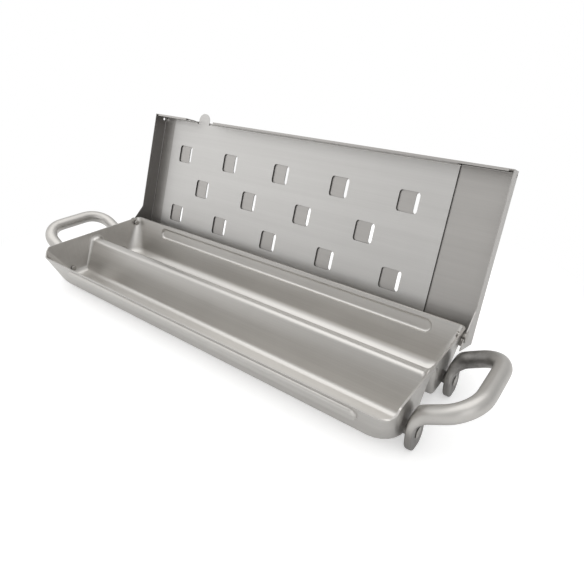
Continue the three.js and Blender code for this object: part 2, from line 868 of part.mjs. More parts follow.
const halfTurn = new THREE.Matrix4().makeRotationZ(Math.PI);
const handle = handleSolid();
const sideNames = [['right', 1], ['left', -1]];
sideNames.forEach(([name, side]) => {
  const handleGeometry = toGeometry(handle);
  const hinge = hingeRivet();
  if (side < 0) {
    handleGeometry.applyMatrix4(halfTurn);
    hinge.rotateZ(Math.PI);
  }
  smokerBox.add(piece(`handle_${name}`, handleGeometry, handleColor));
  hinge.translate(0, hingeY, hingeZ);
  smokerBox.add(piece(`hinge_rivet_${name}`, hinge, rivetColor));
  lugPlaces.forEach((y) => {
    const rivet = handleRivet();
    if (side < 0) rivet.rotateZ(Math.PI);
    rivet.translate(0, y, handleRivetHeight);
    const place = y < 0 ? 'front' : 'back';
    smokerBox.add(piece(`handle_rivet_${name}_${place}`, rivet, rivetColor));
  });
});

const lidGroup = new THREE.Group();
lidGroup.add(piece('lid', toGeometry(makeLid())));
lidGroup.add(piece('vent_plate', toGeometry(makeVentPlate())));
lidGroup.add(piece('vent_plate_rail', toGeometry(makeRail())));
lidGroup.position.set(0, hingeY, hingeZ);
lidGroup.rotation.x = -radians(lidOpenAngle);
smokerBox.add(lidGroup);

// The origin is the middle of the open box's footprint, on the surface that it stands on
smokerBox.updateMatrixWorld(true);
const footprint = new THREE.Box3().setFromObject(smokerBox, true);
smokerBox.position.y = -(footprint.min.y + footprint.max.y) / 2;

export default smokerBox;
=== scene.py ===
import math

import bpy
from mathutils import Matrix, Vector


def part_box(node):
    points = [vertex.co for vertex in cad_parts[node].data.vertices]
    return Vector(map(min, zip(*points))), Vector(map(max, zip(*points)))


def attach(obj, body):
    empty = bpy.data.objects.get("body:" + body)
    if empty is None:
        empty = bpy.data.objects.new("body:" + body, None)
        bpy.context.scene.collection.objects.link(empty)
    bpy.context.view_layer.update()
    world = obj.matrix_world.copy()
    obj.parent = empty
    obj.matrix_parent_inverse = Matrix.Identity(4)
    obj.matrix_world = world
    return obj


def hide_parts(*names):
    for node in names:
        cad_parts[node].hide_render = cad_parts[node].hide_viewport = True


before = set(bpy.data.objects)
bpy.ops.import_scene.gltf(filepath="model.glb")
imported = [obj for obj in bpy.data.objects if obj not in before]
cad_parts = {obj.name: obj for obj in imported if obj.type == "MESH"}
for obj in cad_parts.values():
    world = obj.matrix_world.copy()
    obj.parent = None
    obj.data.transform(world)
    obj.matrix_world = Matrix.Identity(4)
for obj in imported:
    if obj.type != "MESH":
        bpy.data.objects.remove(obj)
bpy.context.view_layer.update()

bl_info = {
    "name": "Grill smoker box",
    "version": (1, 0, 0),
    "blender": (4, 5, 0),
    "location": "View3D > Sidebar > Smoker box",
    "description": "Models the smoker box's finished pieces round its frame and sets up its studio",
    "category": "Add Mesh",
}

SIDES = ("right", "left")
RIVET_PLACES = ("front", "back")
WHITE = (1.0, 1.0, 1.0, 1.0)

# Numbers of the Mix node's two colour inputs and of its colour output
MIX_FIRST = 6
MIX_SECOND = 7
MIX_RESULT = 2

# Places read from the frame, in metres, as all lengths here are
TRAY_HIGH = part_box("tray")[1]
LID_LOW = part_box("lid")[0]
HANDLE_LOW, HANDLE_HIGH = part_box("handle_right")
HANDLE_MIDDLE = (HANDLE_LOW.y + HANDLE_HIGH.y) / 2

# For each node of sheet: the piece that stands for it, the body it rides on and the radius of
# its cut edges
SHEETS = {
    "tray": ("tray_sheet", "box", 0.0003),
    "lid": ("lid_sheet", "hinged_lid", 0.00015),
    "vent_plate": ("vent_plate_sheet", "sliding_vent", 0.00036),
    "vent_plate_rail": ("vent_plate_rail_sheet", "hinged_lid", 0.00015),
}
TRAY_THICKNESS = 0.0012

# The open lid's lean above level, and the ways up along it and out of its outer face
LID_LEAN = math.radians(71.33)
ALONG = Vector((0.0, math.cos(LID_LEAN), math.sin(LID_LEAN)))
OUTWARD = Vector((0.0, math.sin(LID_LEAN), -math.cos(LID_LEAN)))

# How far the bends of the lid and the vent plate reach in from their edges and from their
# outer face, and the width of the painted shadow rim along the vent plate's cuts
BEND_ZONE = 0.004
BEND_DEPTH = 0.0024
SHADOW_RIM_WIDTH = 0.00045

# How much of a face's normal lies along the way out: less than this in a cut, more than this
# in a bend, and at least this on a flat face
CUT_SLOPE = 0.97
BEND_SLOPE = 0.2
FLAT_SLOPE = 0.999

# Distance within which points are joined, and the two halves of a bar, and the angle within
# which faces become one
MERGE_DISTANCE = 0.000004
MIRROR_MERGE = 0.0001
FLAT_ANGLE = math.radians(0.4)

# Steps across a rounded edge, the angles from which edges are rounded and shaded sharp, and
# how much flat faces weigh in the shading of rounded ones
EDGE_SEGMENTS = 2
SHEET_EDGE_ANGLE = math.radians(50.0)
SHEET_SHARP_ANGLE = math.radians(35.0)
BAR_SHARP_ANGLE = math.radians(40.0)
RIVET_EDGE_ANGLE = math.radians(35.0)
RIVET_SHARP_ANGLE = math.radians(50.0)
FLAT_WEIGHT = 100

# Steps of the handle's bar in a lug's foot, an elbow, a bend and the corners of a section, and
# the share of its radius to which a round section's corners are bevelled before smoothing
FOOT_STEPS = 7
ELBOW_STEPS = 8
BEND_STEPS = 8
CORNER_STEPS = 6
ROUND_SHARE = 0.93

# Height below which points belong to a lug's foot, and the band that keeps its edge crisp
FOOT_LEVEL = 0.00001
FOOT_BAND = 0.0004

# Rivets: sides, radius of the edges, height of a handle rivet's head, steps of the domed ends
RIVET_SIDES = 32
RIVET_EDGE = 0.00012
FLUSH_HEAD = 0.0004
TAIL_STEPS = 3
HEAD_STEPS = 4
HINGE_HEAD_STEPS = 5

# Hinge rivets: shank, gap between the tray's end and the shoulder, upright rim of the head
HINGE_SHANK_RADIUS = 0.0018
HINGE_SHOULDER_OUT = 0.0003
HINGE_HEAD_EDGE = 0.0003

# Noises of the steel: features per metre along X, Y and Z, detail and roughness
SHEET_STREAKS = ((9.0, 1500.0, 1500.0), 2.0, 0.6)
END_STREAKS = ((9.0, 1500.0, 9.0), 2.0, 0.6)
BANDS = ((4.0, 190.0, 190.0), 3.0, 0.5)
CLOUDS = ((22.0, 26.0, 26.0), 3.0, 0.55)
PITS = ((900.0, 900.0, 900.0), 2.0, 0.6)
PATCHES = ((120.0, 120.0, 120.0), 3.0, 0.6)
NOISE_MIDDLE = 0.5

# Sideways parts of a normal between which the streaks turn upright, as on an end wall
END_FACING_LOW = 0.55
END_FACING_HIGH = 0.8

# How far the noises change the steel's tone, its roughness and its relief
STREAK_TONE = 0.5
BAND_TONE = 0.45
CLOUD_TONE = 0.35
STREAK_ROUGHNESS = 0.2
CLOUD_ROUGHNESS = 0.1
PIT_RELIEF = 4.0
RELIEF_STRENGTH = 0.12
RELIEF_DEPTH = 0.00012

# Strength of each finish's brushing, and of its pits
SHEET_GRAIN = 1.2
PLATE_GRAIN = 1.3
LID_GRAIN = 1.2
CUT_GRAIN = 0.1
BAR_GRAIN = 0.3
RIVET_GRAIN = 0.2
CUT_SPECKLE = 0.2
BAR_SPECKLE = 0.16
RIVET_SPECKLE = 0.1

# Painted shade at the foot of the lugs: heights between which it fades, and its share
LUG_SHADE_LOW = 0.012
LUG_SHADE_HIGH = 0.024
LUG_SHADE_SHARE = 0.65

# Painted shade under the bar: upward parts of the normal between which it fades, and its share
UNDERSIDE_LOW = -0.9
UNDERSIDE_HIGH = -0.1
UNDERSIDE_SHARE = 0.4

# Painted shade on the right handle's back leg: distances from the tray's end, then from the
# handle's middle, between which it fades, its share, and the share and limits of its patches
LEG_SHADE_LOW = 0.014
LEG_SHADE_HIGH = 0.036
BACK_SHADE_LOW = 0.012
BACK_SHADE_HIGH = 0.026
LEG_SHADE_SHARE = 0.65
PATCH_SHARE = 0.3
PATCH_LOW = 0.3
PATCH_HIGH = 0.7

# Painted shade from dark reflections on the lid's left flange: distances from the lid's end between
# which it fades, and its share
FLANGE_SHADE_NEAR = 0.001
FLANGE_SHADE_FAR = 0.002
FLANGE_SHADE_SHARE = 0.75

# Lamps: name, place, what it faces, side, watts
LAMPS = (
    ("softbox_above", (-0.2, 0.0, 1.7), (0.0, 0.0, 0.05), 2.2, 13.0),
    ("softbox_left", (-1.6, -1.1, 1.1), (0.0, 0.0, 0.05), 2.0, 5.0),
    ("softbox_right", (1.5, -1.4, 0.7), (0.1, 0.0, 0.03), 1.6, 5.0),
)

# Floor: its two colours, their mottle and its roughness
FLOOR_SHADE = (0.76, 0.76, 0.76, 1.0)
FLOOR_TINT = (0.8, 0.8, 0.8, 1.0)
FLOOR_MOTTLE = ((3.0, 3.0, 3.0), 2.0, 0.5)
FLOOR_ROUGHNESS = 0.9

# White added to the floor that the camera sees and to the floor that steel mirrors
FLOOR_LIFT = 0.45
GLOSS_LIFT = 0.13

# Distances from the middle between which the floor goes over to plain white for the camera
SHADOW_REACH = 0.22
SHADOW_END = 0.32

# Sky: its colours to the left, to the right and overhead, and the parts of a direction along X
# and Z between which they change
SKY_LEFT = (0.95, 0.95, 0.95, 1.0)
SKY_RIGHT = (0.8, 0.8, 0.81, 1.0)
SKY_OVERHEAD = (1.0, 1.0, 0.99, 1.0)
SKY_TURN_START = -0.3
SKY_TURN_END = 1.0
SKY_RISE_START = 0.1
SKY_RISE_END = 0.9

# Nearest distance that the camera sees
CAMERA_NEAR = 0.01


# Settings


class HandleSettings(bpy.types.PropertyGroup):
    """Sizes of the handles"""

    bar_radius: bpy.props.FloatProperty(
        name="Bar radius",
        description="Radius of the round bar",
        unit="LENGTH",
        default=0.00535,
    )
    reach: bpy.props.FloatProperty(
        name="Reach",
        description="From the lugs to the middle of the grip, along the slope",
        unit="LENGTH",
        default=0.0354,
    )
    rise: bpy.props.FloatProperty(
        name="Rise",
        description="Slope of the handle above level",
        subtype="ANGLE",
        default=math.radians(28.0),
    )
    bend_radius: bpy.props.FloatProperty(
        name="Bend radius",
        description="Radius of the two bends of the grip, at the middle of the bar",
        unit="LENGTH",
        default=0.0178,
    )
    elbow_radius: bpy.props.FloatProperty(
        name="Elbow radius",
        description="Radius of the bend from each lug to its leg",
        unit="LENGTH",
        default=0.013,
    )
    root_height: bpy.props.FloatProperty(
        name="Root height",
        description="Height at which the legs would meet the lugs with no elbow",
        unit="LENGTH",
        default=0.0254,
    )
    leg_spacing: bpy.props.FloatProperty(
        name="Leg spacing",
        description="Distance between the middles of the legs",
        unit="LENGTH",
        default=0.062,
    )
    lug_spacing: bpy.props.FloatProperty(
        name="Lug spacing",
        description="Distance between the middles of the lugs",
        unit="LENGTH",
        default=0.0575,
    )
    lug_width: bpy.props.FloatProperty(
        name="Lug width",
        description="Width of a flattened lug",
        unit="LENGTH",
        default=0.0194,
    )
    lug_thickness: bpy.props.FloatProperty(
        name="Lug thickness",
        description="Thickness of a flattened lug",
        unit="LENGTH",
        default=0.0044,
    )
    lug_edge: bpy.props.FloatProperty(
        name="Lug edge",
        description="Radius of the edges of a lug",
        unit="LENGTH",
        default=0.0012,
    )
    stand_off: bpy.props.FloatProperty(
        name="Stand-off",
        description="Gap between a lug and the tray's rim",
        unit="LENGTH",
        default=0.0004,
    )
    boss_radius: bpy.props.FloatProperty(
        name="Boss radius",
        description="Radius of the boss between a lug and the tray's end wall",
        unit="LENGTH",
        default=0.004,
    )
    head_gap: bpy.props.FloatProperty(
        name="Head gap",
        description="Gap round a rivet's head, where the lug is sunk to take it",
        unit="LENGTH",
        default=0.0003,
    )
    foot_flat: bpy.props.FloatProperty(
        name="Foot flat",
        description="How much is dressed off the lowest point of a lug",
        unit="LENGTH",
        default=0.0002,
    )


class RivetSettings(bpy.types.PropertyGroup):
    """Sizes of the rivets"""

    shank_radius: bpy.props.FloatProperty(
        name="Shank radius",
        description="Radius of a handle rivet's shank",
        unit="LENGTH",
        default=0.002,
    )
    head_radius: bpy.props.FloatProperty(
        name="Head radius",
        description="Radius of a handle rivet's flush head",
        unit="LENGTH",
        default=0.0034,
    )
    tail_radius: bpy.props.FloatProperty(
        name="Tail radius",
        description="Radius of the tail that is set inside the tray",
        unit="LENGTH",
        default=0.0024,
    )
    tail_height: bpy.props.FloatProperty(
        name="Tail height",
        description="Height of the tail that is set inside the tray",
        unit="LENGTH",
        default=0.0012,
    )
    hinge_head_radius: bpy.props.FloatProperty(
        name="Hinge head radius",
        description="Radius of a hinge rivet's domed head",
        unit="LENGTH",
        default=0.0042,
    )
    hinge_head_height: bpy.props.FloatProperty(
        name="Hinge head height",
        description="Height of a hinge rivet's domed head",
        unit="LENGTH",
        default=0.0013,
    )
    shoulder_radius: bpy.props.FloatProperty(
        name="Shoulder radius",
        description="Radius of the shoulder that the lid turns on",
        unit="LENGTH",
        default=0.0025,
    )


class SteelSettings(bpy.types.PropertyGroup):
    """Colours and roughness of the steel finishes"""

    sheet_tint: bpy.props.FloatVectorProperty(
        name="Sheet tint",
        description="Light colour of the brushed sheet",
        subtype="COLOR",
        size=4,
        min=0.0,
        max=1.0,
        default=(0.66, 0.645, 0.62, 1.0),
    )
    sheet_shade: bpy.props.FloatVectorProperty(
        name="Sheet shade",
        description="Dark colour of the brushed sheet",
        subtype="COLOR",
        size=4,
        min=0.0,
        max=1.0,
        default=(0.5, 0.485, 0.465, 1.0),
    )
    plate_tint: bpy.props.FloatVectorProperty(
        name="Plate tint",
        description="Light colour of the vent plate",
        subtype="COLOR",
        size=4,
        min=0.0,
        max=1.0,
        default=(0.67, 0.66, 0.645, 1.0),
    )
    plate_shade: bpy.props.FloatVectorProperty(
        name="Plate shade",
        description="Dark colour of the vent plate",
        subtype="COLOR",
        size=4,
        min=0.0,
        max=1.0,
        default=(0.55, 0.54, 0.525, 1.0),
    )
    lid_tint: bpy.props.FloatVectorProperty(
        name="Lid tint",
        description="Light colour of the lid",
        subtype="COLOR",
        size=4,
        min=0.0,
        max=1.0,
        default=(0.54, 0.525, 0.505, 1.0),
    )
    lid_shade: bpy.props.FloatVectorProperty(
        name="Lid shade",
        description="Dark colour of the lid",
        subtype="COLOR",
        size=4,
        min=0.0,
        max=1.0,
        default=(0.42, 0.405, 0.39, 1.0),
    )
    bar_tint: bpy.props.FloatVectorProperty(
        name="Handle tint",
        description="Light colour of the forged handles",
        subtype="COLOR",
        size=4,
        min=0.0,
        max=1.0,
        default=(0.62, 0.605, 0.58, 1.0),
    )
    bar_shade: bpy.props.FloatVectorProperty(
        name="Handle shade",
        description="Dark colour of the forged handles",
        subtype="COLOR",
        size=4,
        min=0.0,
        max=1.0,
        default=(0.45, 0.435, 0.415, 1.0),
    )
    rivet_tint: bpy.props.FloatVectorProperty(
        name="Rivet tint",
        description="Light colour of the rivets",
        subtype="COLOR",
        size=4,
        min=0.0,
        max=1.0,
        default=(0.5, 0.485, 0.46, 1.0),
    )
    rivet_shade: bpy.props.FloatVectorProperty(
        name="Rivet shade",
        description="Dark colour of the rivets",
        subtype="COLOR",
        size=4,
        min=0.0,
        max=1.0,
        default=(0.36, 0.345, 0.325, 1.0),
    )
    # Colour to which painted shade and painted dark reflections darken the steel
    painted_shade_tint: bpy.props.FloatVectorProperty(
        name="Stain tint",
        description="Colour of the steel where heat has darkened it",
        subtype="COLOR",
        size=4,
        min=0.0,
        max=1.0,
        default=(0.13, 0.125, 0.12, 1.0),
    )
    # The cut colours are partly the cut edges' own colour and partly painted shadow: they also
    # paint the shadow rim round the plate's holes and the shade in the lid's inner bends
    cut_and_shadow_tint: bpy.props.FloatVectorProperty(
        name="Cut tint",
        description="Light colour of the cut edges of the lid and the plate",
        subtype="COLOR",
        size=4,
        min=0.0,
        max=1.0,
        default=(0.1, 0.095, 0.09, 1.0),
    )
    cut_and_shadow_shade: bpy.props.FloatVectorProperty(
        name="Cut shade",
        description="Dark colour of the cut edges of the lid and the plate",
        subtype="COLOR",
        size=4,
        min=0.0,
        max=1.0,
        default=(0.05, 0.048, 0.045, 1.0),
    )
    cut_roughness: bpy.props.FloatProperty(
        name="Cut roughness",
        description="Middle roughness of the cut edges",
        subtype="FACTOR",
        min=0.0,
        max=1.0,
        default=0.55,
    )
    sheet_roughness: bpy.props.FloatProperty(
        name="Sheet roughness",
        description="Middle roughness of the brushed sheet",
        subtype="FACTOR",
        min=0.0,
        max=1.0,
        default=0.36,
    )
    plate_roughness: bpy.props.FloatProperty(
        name="Plate roughness",
        description="Middle roughness of the lid and the vent plate",
        subtype="FACTOR",
        min=0.0,
        max=1.0,
        default=0.42,
    )
    bar_roughness: bpy.props.FloatProperty(
        name="Handle roughness",
        description="Middle roughness of the handles",
        subtype="FACTOR",
        min=0.0,
        max=1.0,
        default=0.4,
    )
    rivet_roughness: bpy.props.FloatProperty(
        name="Rivet roughness",
        description="Middle roughness of the rivets",
        subtype="FACTOR",
        min=0.0,
        max=1.0,
        default=0.35,
    )


class StudioSettings(bpy.types.PropertyGroup):
    """Camera, floor and sky"""

    camera_place: bpy.props.FloatVectorProperty(
        name="Camera place",
        description="Where the camera stands",
        subtype="TRANSLATION",
        unit="LENGTH",
        size=3,
        default=(0.25191, -0.27238, 0.22275),
    )
    camera_turn: bpy.props.FloatVectorProperty(
        name="Camera turn",
        description="How the camera is turned",
        subtype="EULER",
        unit="ROTATION",
        size=3,
        default=(math.radians(64.722), math.radians(-0.271), math.radians(36.939)),
    )
    lens: bpy.props.FloatProperty(
        name="Lens",
        description="Focal length on a 36 mm sensor, in millimetres",
        min=1.0,
        default=30.817,
    )
    view_slide: bpy.props.FloatProperty(
        name="View slide",
        description="Sideways shift of the camera, as a share of the frame",
        default=-0.001,
    )
    view_drop: bpy.props.FloatProperty(
        name="View drop",
        description="Upright shift of the camera, as a share of the frame",
        default=-0.0547,
    )
    floor_size: bpy.props.FloatProperty(
        name="Floor size",
        description="Side of the square floor",
        unit="LENGTH",
        min=1.0,
        default=60.0,
    )
    sky_strength: bpy.props.FloatProperty(
        name="Sky strength",
        description="Brightness of the studio round the object",
        min=0.0,
        default=0.75,
    )


# Node trees


class Signal:
    """A socket that can be used in arithmetic; each operation adds one Math node."""

    def __init__(self, bench, socket):
        self.bench = bench
        self.socket = socket

    def math(self, operation, *values, clamp=False):
        settings = {"operation": operation, "use_clamp": clamp}
        inputs = dict(enumerate((self, *values)))
        return self.bench.node("ShaderNodeMath", settings, inputs).out()

    def __add__(self, other):
        return self.math("ADD", other)

    __radd__ = __add__

    def __sub__(self, other):
        return self.math("SUBTRACT", other)

    def __rsub__(self, other):
        return (self * -1.0) + other

    def __mul__(self, other):
        return self.math("MULTIPLY", other)

    __rmul__ = __mul__

    def clamped(self):
        """The value, held between 0 and 1."""
        return self.math("ADD", 0.0, clamp=True)

    def ramp(self, low, high):
        """0 at low, 1 at high, held outside them."""
        inputs = {"Value": self, "From Min": low, "From Max": high}
        settings = {"interpolation_type": "SMOOTHSTEP"}
        return self.bench.node("ShaderNodeMapRange", settings, inputs).out()


class Placed:
    """A node whose outputs are read as signals."""

    def __init__(self, bench, node):
        self.bench = bench
        self.node = node

    def out(self, name=0):
        return Signal(self.bench, self.node.outputs[name])


class Bench:
    """Adds nodes to one node tree."""

    def __init__(self, tree):
        self.tree = tree
        tree.nodes.clear()

    def node(self, kind, settings=None, inputs=None):
        """Adds a node, sets it, then gives its sockets their values or links."""
        node = self.tree.nodes.new(kind)
        for name, value in (settings or {}).items():
            setattr(node, name, value)
        for name, value in (inputs or {}).items():
            if isinstance(value, Signal):
                self.tree.links.new(value.socket, node.inputs[name])
            else:
                node.inputs[name].default_value = value
        return Placed(self, node)

    def mixed(self, share, first, second):
        """A colour between two colours."""
        inputs = {0: share, MIX_FIRST: first, MIX_SECOND: second}
        settings = {"data_type": "RGBA", "clamp_factor": True}
        return self.node("ShaderNodeMix", settings, inputs).out(MIX_RESULT)

    def noise(self, coordinates, stretch, detail, roughness):
        """Noise on coordinates in metres; stretch is its features per metre along each axis."""
        scaled = self.node(
            "ShaderNodeMapping", {}, {"Vector": coordinates, "Scale": stretch}
        ).out()
        inputs = {
            "Vector": scaled,
            "Scale": 1.0,
            "Detail": detail,
            "Roughness": roughness,
        }
        return self.node("ShaderNodeTexNoise", {}, inputs).out()


# Steel


def steel(name, tint, shade, rough, grain, speckle=0.0, painted_shade=None, painted_shade_tint=None):
    """Stainless steel between a light and a dark colour, brushed along its length and clouded.

    Grain is the strength of its brushing and speckle that of its pits. The last two arguments
    paint shade: a function that gives how far each place is darkened, and the colour it is darkened
    to."""
    material = bpy.data.materials.new(name)
    material.use_nodes = True
    bench = Bench(material.node_tree)
    place = bench.node("ShaderNodeTexCoord").out("Object")
    normal = bench.node("ShaderNodeNewGeometry").out("Normal")
    across = bench.node("ShaderNodeSeparateXYZ", {}, {0: normal}).out("X")
    on_end = across.math("ABSOLUTE").ramp(END_FACING_LOW, END_FACING_HIGH)
    along_sheet = bench.noise(place, *SHEET_STREAKS)
    up_end = bench.noise(place, *END_STREAKS)
    streaks = along_sheet * (1.0 - on_end) + up_end * on_end
    bands = bench.noise(place, *BANDS)
    clouds = bench.noise(place, *CLOUDS)
    pits = bench.noise(place, *PITS)
    tone = (
        (streaks - NOISE_MIDDLE) * (STREAK_TONE * grain)
        + (bands - NOISE_MIDDLE) * (BAND_TONE * grain)
        + (clouds - NOISE_MIDDLE) * CLOUD_TONE
        + NOISE_MIDDLE
    )
    colour = bench.mixed(tone.clamped(), shade, tint)
    # Painted shade, mixed in where the given function asks for it
    if painted_shade:
        colour = bench.mixed(painted_shade(bench, place), colour, painted_shade_tint)
    roughness = (
        rough
        + (streaks - NOISE_MIDDLE) * (STREAK_ROUGHNESS * grain)
        + (clouds - NOISE_MIDDLE) * CLOUD_ROUGHNESS
        + (pits - NOISE_MIDDLE) * speckle
    )
    height = streaks * grain + pits * (speckle * PIT_RELIEF)
    bump = bench.node(
        "ShaderNodeBump",
        {},
        {"Strength": RELIEF_STRENGTH, "Distance": RELIEF_DEPTH, "Height": height},
    ).out()
    shader = bench.node(
        "ShaderNodeBsdfPrincipled",
        {},
        {
            "Base Color": colour,
            "Metallic": 1.0,
            "Roughness": roughness.clamped(),
            "Normal": bump,
        },
    ).out()
    bench.node("ShaderNodeOutputMaterial", {}, {"Surface": shader})
    return material


def bar_painted_shade(bench, place):
    """Painted shade on the forged bar: the lugs' feet, the underside, the right handle's back leg.
    """
    parts = bench.node("ShaderNodeSeparateXYZ", {}, {0: place})
    rightward, back, up = parts.out("X"), parts.out("Y"), parts.out("Z")
    # Painted shade, darkest at the lugs' feet and fading upwards
    lugs = 1.0 - up.ramp(LUG_SHADE_LOW, LUG_SHADE_HIGH)
    # Painted shade on the faces of the bar that look down
    normal = bench.node("ShaderNodeNewGeometry").out("Normal")
    facing = bench.node("ShaderNodeSeparateXYZ", {}, {0: normal}).out("Z")
    under = (1.0 - facing.ramp(UNDERSIDE_LOW, UNDERSIDE_HIGH)) * UNDERSIDE_SHARE
    # Painted shade on the right handle's back leg, in patches, where it faces the tray's end
    right = rightward.ramp(0.0, TRAY_HIGH.x)
    near = 1.0 - rightward.ramp(TRAY_HIGH.x + LEG_SHADE_LOW, TRAY_HIGH.x + LEG_SHADE_HIGH)
    leg = back.ramp(HANDLE_MIDDLE + BACK_SHADE_LOW, HANDLE_MIDDLE + BACK_SHADE_HIGH)
    patches = bench.noise(place, *PATCHES).ramp(PATCH_LOW, PATCH_HIGH)
    shade = right * near * leg * (LEG_SHADE_SHARE + patches * PATCH_SHARE)
    return shade.math("MAXIMUM", lugs * LUG_SHADE_SHARE).math("MAXIMUM", under)


def flange_painted_shade(bench, place):
    """Painted shade from dark reflections on the flange at the left end of the lid."""
    rightward = bench.node("ShaderNodeSeparateXYZ", {}, {0: place}).out("X")
    away = rightward.ramp(LID_LOW.x + FLANGE_SHADE_NEAR, LID_LOW.x + FLANGE_SHADE_FAR)
    return (1.0 - away) * FLANGE_SHADE_SHARE


def finish_with(piece, material):
    """Puts one material on all of a piece's faces."""
    piece.data.materials.clear()
    piece.data.materials.append(material)


# Work on meshes


def pick(piece):
    """Makes a piece the only one selected, and the active one."""
    if bpy.context.mode != "OBJECT":
        bpy.ops.object.mode_set(mode="OBJECT")
    bpy.ops.object.select_all(action="DESELECT")
    piece.select_set(True)
    bpy.context.view_layer.objects.active = piece


def open_mesh(piece, select="SELECT"):
    """Opens a piece's mesh for editing, with all of it selected or none."""
    pick(piece)
    bpy.ops.object.mode_set(mode="EDIT")
    bpy.ops.mesh.select_mode(type="VERT")
    bpy.ops.mesh.select_all(action=select)


def close_mesh():
    """Closes the mesh that is open for editing."""
    bpy.ops.object.mode_set(mode="OBJECT")


def open_chosen(piece, kind, chosen):
    """Opens a piece's mesh with only the vertices or faces selected that pass a test."""
    open_mesh(piece, "DESELECT")
    bpy.ops.mesh.select_mode(type=kind)
    close_mesh()
    for part in piece.data.vertices if kind == "VERT" else piece.data.polygons:
        part.select = chosen(part)
    bpy.ops.object.mode_set(mode="EDIT")


def modify(piece, kind, **settings):
    """Adds a modifier to a piece and applies it."""
    pick(piece)
    modifier = piece.modifiers.new(kind.lower(), kind)
    for name, value in settings.items():
        setattr(modifier, name, value)
    bpy.ops.object.modifier_apply(modifier=modifier.name)


def set_origin(piece):
    """Leaves a piece's object at the origin, with its place in its mesh."""
    pick(piece)
    bpy.ops.object.transform_apply(location=True, rotation=True, scale=True)


def smooth(piece, angle):
    """Shades a piece smooth, apart from edges sharper than an angle."""
    pick(piece)
    bpy.ops.object.shade_smooth_by_angle(angle=angle)


def join_doubles(piece):
    """Joins the points of a mesh that lie on each other."""
    open_mesh(piece)
    bpy.ops.mesh.remove_doubles(threshold=MERGE_DISTANCE)
    close_mesh()


def merged_copy(node, name):
    """A copy of a CAD node, with its loose triangles joined into whole faces."""
    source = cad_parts[node]
    piece = bpy.data.objects.new(name, source.data.copy())
    piece.data.transform(source.matrix_world)
    bpy.context.collection.objects.link(piece)
    join_doubles(piece)
    open_mesh(piece)
    bpy.ops.mesh.dissolve_limited(angle_limit=FLAT_ANGLE)
    close_mesh()
    return piece


def soften_edges(piece, width, angle):
    """Rounds the edges of a piece that are sharper than an angle."""
    modify(
        piece,
        "BEVEL",
        width=width,
        segments=EDGE_SEGMENTS,
        limit_method="ANGLE",
        angle_limit=angle,
        use_clamp_overlap=True,
        harden_normals=False,
    )


def cut_or_add(piece, tool, operation):
    """Cuts a closed shape out of a piece, or joins it on, and removes the shape."""
    modify(piece, "BOOLEAN", object=tool, operation=operation, solver="EXACT")
    bpy.data.objects.remove(tool)


def turned(name, profile, place):
    """A round piece along X, from its profile of distances along X and radii."""
    reach, radius = profile[0]
    start = Vector((reach, place.y, place.z))
    bpy.ops.object.select_all(action="DESELECT")
    bpy.ops.mesh.primitive_circle_add(
        vertices=RIVET_SIDES,
        radius=radius,
        fill_type="NGON",
        location=start,
        rotation=(0.0, math.pi / 2, 0.0),
    )
    piece = bpy.context.active_object
    piece.name = name
    open_mesh(piece)
    for next_reach, next_radius in profile[1:]:
        bpy.ops.mesh.extrude_region_move(
            TRANSFORM_OT_translate={"value": (next_reach - reach, 0.0, 0.0)}
        )
        grow = next_radius / radius
        bpy.ops.transform.resize(
            value=(1.0, grow, grow), center_override=(next_reach, place.y, place.z)
        )
        reach, radius = next_reach, next_radius
    bpy.ops.mesh.select_all(action="SELECT")
    bpy.ops.mesh.normals_make_consistent(inside=False)
    close_mesh()
    soften_edges(piece, RIVET_EDGE, RIVET_EDGE_ANGLE)
    join_doubles(piece)
    smooth(piece, RIVET_SHARP_ANGLE)
    set_origin(piece)
    return piece


def stand_for(piece, body, slot, *nodes):
    """Puts a piece on a body in the place of CAD nodes."""
    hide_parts(*nodes)
    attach(piece, body)


# Sheet pieces


class SMOKER_OT_sheets(bpy.types.Operator):
    """Finish the tray, the lid, the vent plate and its rail as brushed sheet with dressed edges"""

    bl_idname = "smoker.sheets"
    bl_label = "Sheet metal"

    def execute(self, context):
        colours = context.scene.smoker_steel
        sheet = steel(
            "brushed_sheet",
            colours.sheet_tint,
            colours.sheet_shade,
            colours.sheet_roughness,
            SHEET_GRAIN,
        )
        plate = steel(
            "brushed_plate",
            colours.plate_tint,
            colours.plate_shade,
            colours.plate_roughness,
            PLATE_GRAIN,
        )
        # The lid's finish, with painted shade from dark reflections on its left flange
        lid = steel(
            "lid_sheet",
            colours.lid_tint,
            colours.lid_shade,
            colours.plate_roughness,
            LID_GRAIN,
            painted_shade=flange_painted_shade,
            painted_shade_tint=colours.painted_shade_tint,
        )
        # Dark finish of the cut edges, which also paints the shadow rim round the plate's holes and
        # the shade in the lid's inner bends
        cut = steel(
            "cut_edge_and_painted_shadow",
            colours.cut_and_shadow_tint,
            colours.cut_and_shadow_shade,
            colours.cut_roughness,
            CUT_GRAIN,
            CUT_SPECKLE,
        )
        finishes = {"tray": sheet, "lid": lid, "vent_plate": plate, "vent_plate_rail": lid}
        for node, (name, body, edge) in SHEETS.items():
            piece = merged_copy(node, name)
            soften_edges(piece, edge, SHEET_EDGE_ANGLE)
            finish_with(piece, finishes[node])
            # Dark cut edges, partly painted shadow, with painted shade in the lid's inner bends and
            # a painted shadow rim on the plate
            if node in ("lid", "vent_plate"):
                darken_cuts_and_paint_shade(piece, cut, node == "lid")
            smooth(piece, SHEET_SHARP_ANGLE)
            modify(piece, "WEIGHTED_NORMAL", keep_sharp=True, weight=FLAT_WEIGHT)
            stand_for(piece, body, "sheet_steel", node)
        return {"FINISHED"}


